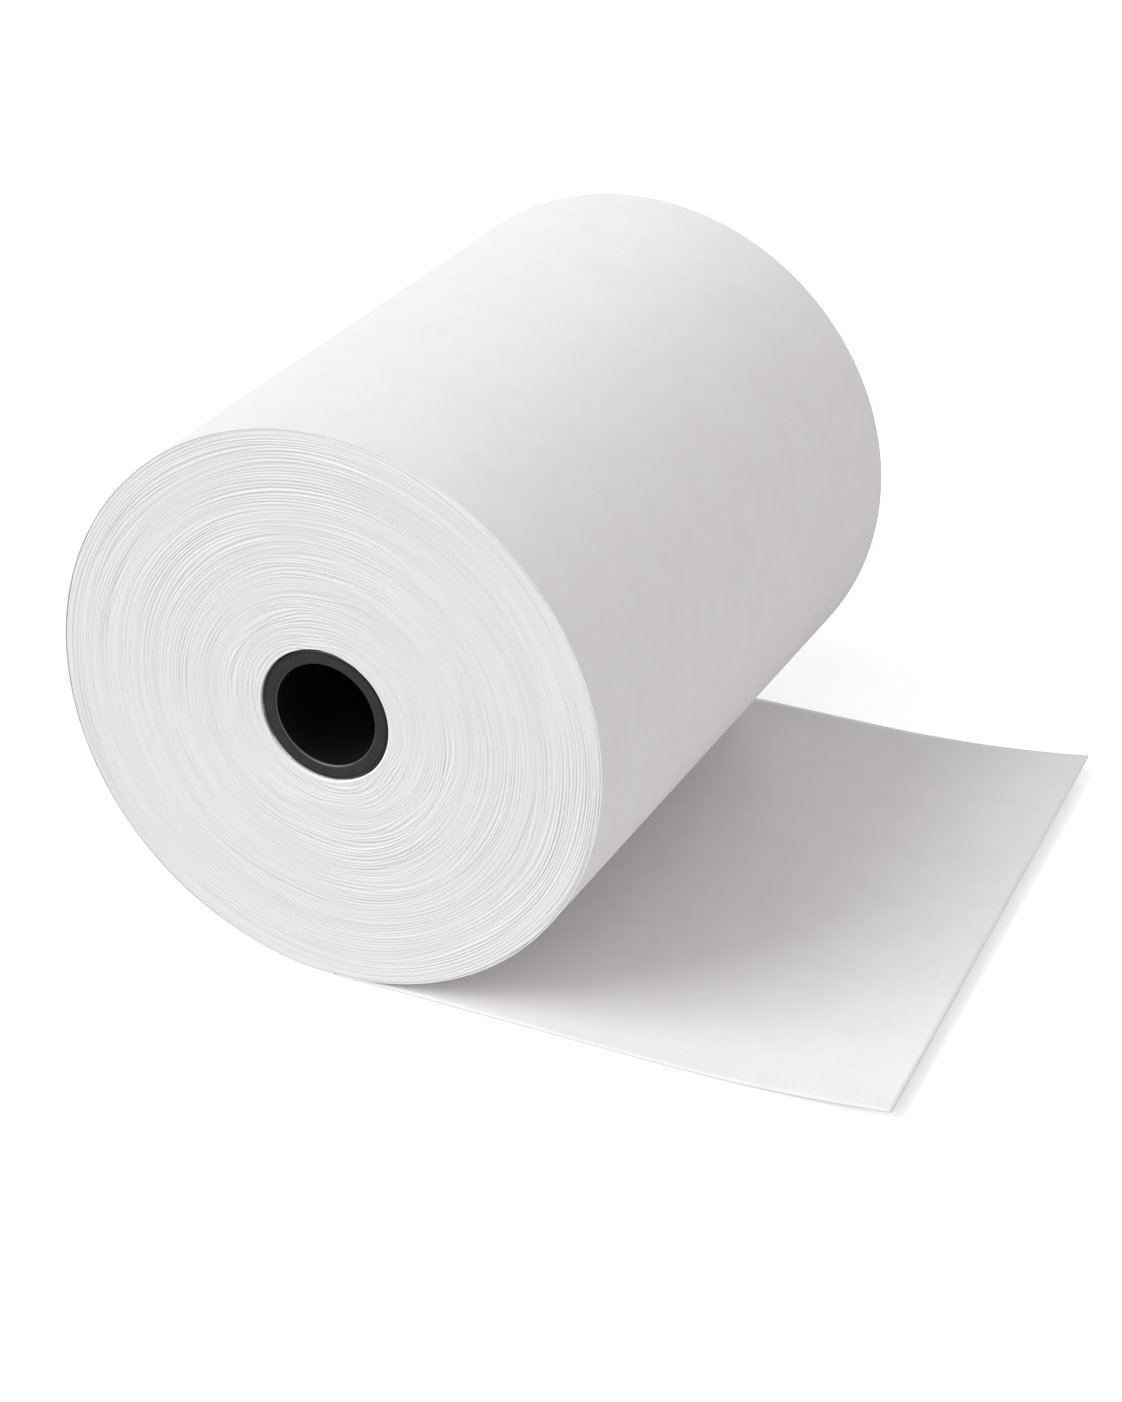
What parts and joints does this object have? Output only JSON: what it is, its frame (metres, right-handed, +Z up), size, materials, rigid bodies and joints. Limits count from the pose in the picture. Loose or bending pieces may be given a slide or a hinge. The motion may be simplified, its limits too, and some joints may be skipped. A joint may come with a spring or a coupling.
{
  "type": "paper roll",
  "caption": "Short roll of white paper wound on a hollow black plastic core, lying on its side with the loose end of the web run out flat beside it.",
  "frame": {"origin": "on the surface that the roll stands on, under the middle of the roll's axis: the middle of its line of contact", "axes": "+X the way the loose sheet runs out, +Y along the roll's axis from the end shown to the far end, +Z up"},
  "size_m": [0.1205, 0.099, 0.08],
  "materials": {
    "paper_face": "matte uncoated white paper",
    "paper_edge": "cut edges of wound white paper, fine concentric lines",
    "adhesive": "clear double-sided adhesive strip",
    "core_plastic": "extruded black plastic, satin"
  },
  "bodies": {
    "sheet": {"loose_sheet": "paper_face"},
    "last_turn": {"outer_turn": "paper_face"},
    "roll": {"slack_windings": "paper_edge", "tight_windings": "paper_edge", "core_glue_strip": "adhesive", "core_tube": "core_plastic"}
  },
  "joints": [
    {"name": "roll_travel", "type": "slide", "parent": "sheet", "child": "last_turn", "axis": [1, 0, 0], "range_m": [0, 0.06], "deforming": ["loose_sheet"]},
    {"name": "roll_turn", "type": "hinge", "parent": "last_turn", "child": "roll", "pos_m": [0, 0, 0.0403], "axis": [0, 1, 0], "range_deg": [0, 86]}
  ],
  "couplings": [
    {"joint": "roll_turn", "follows": "roll_travel", "rad_per_m": 25}
  ]
}
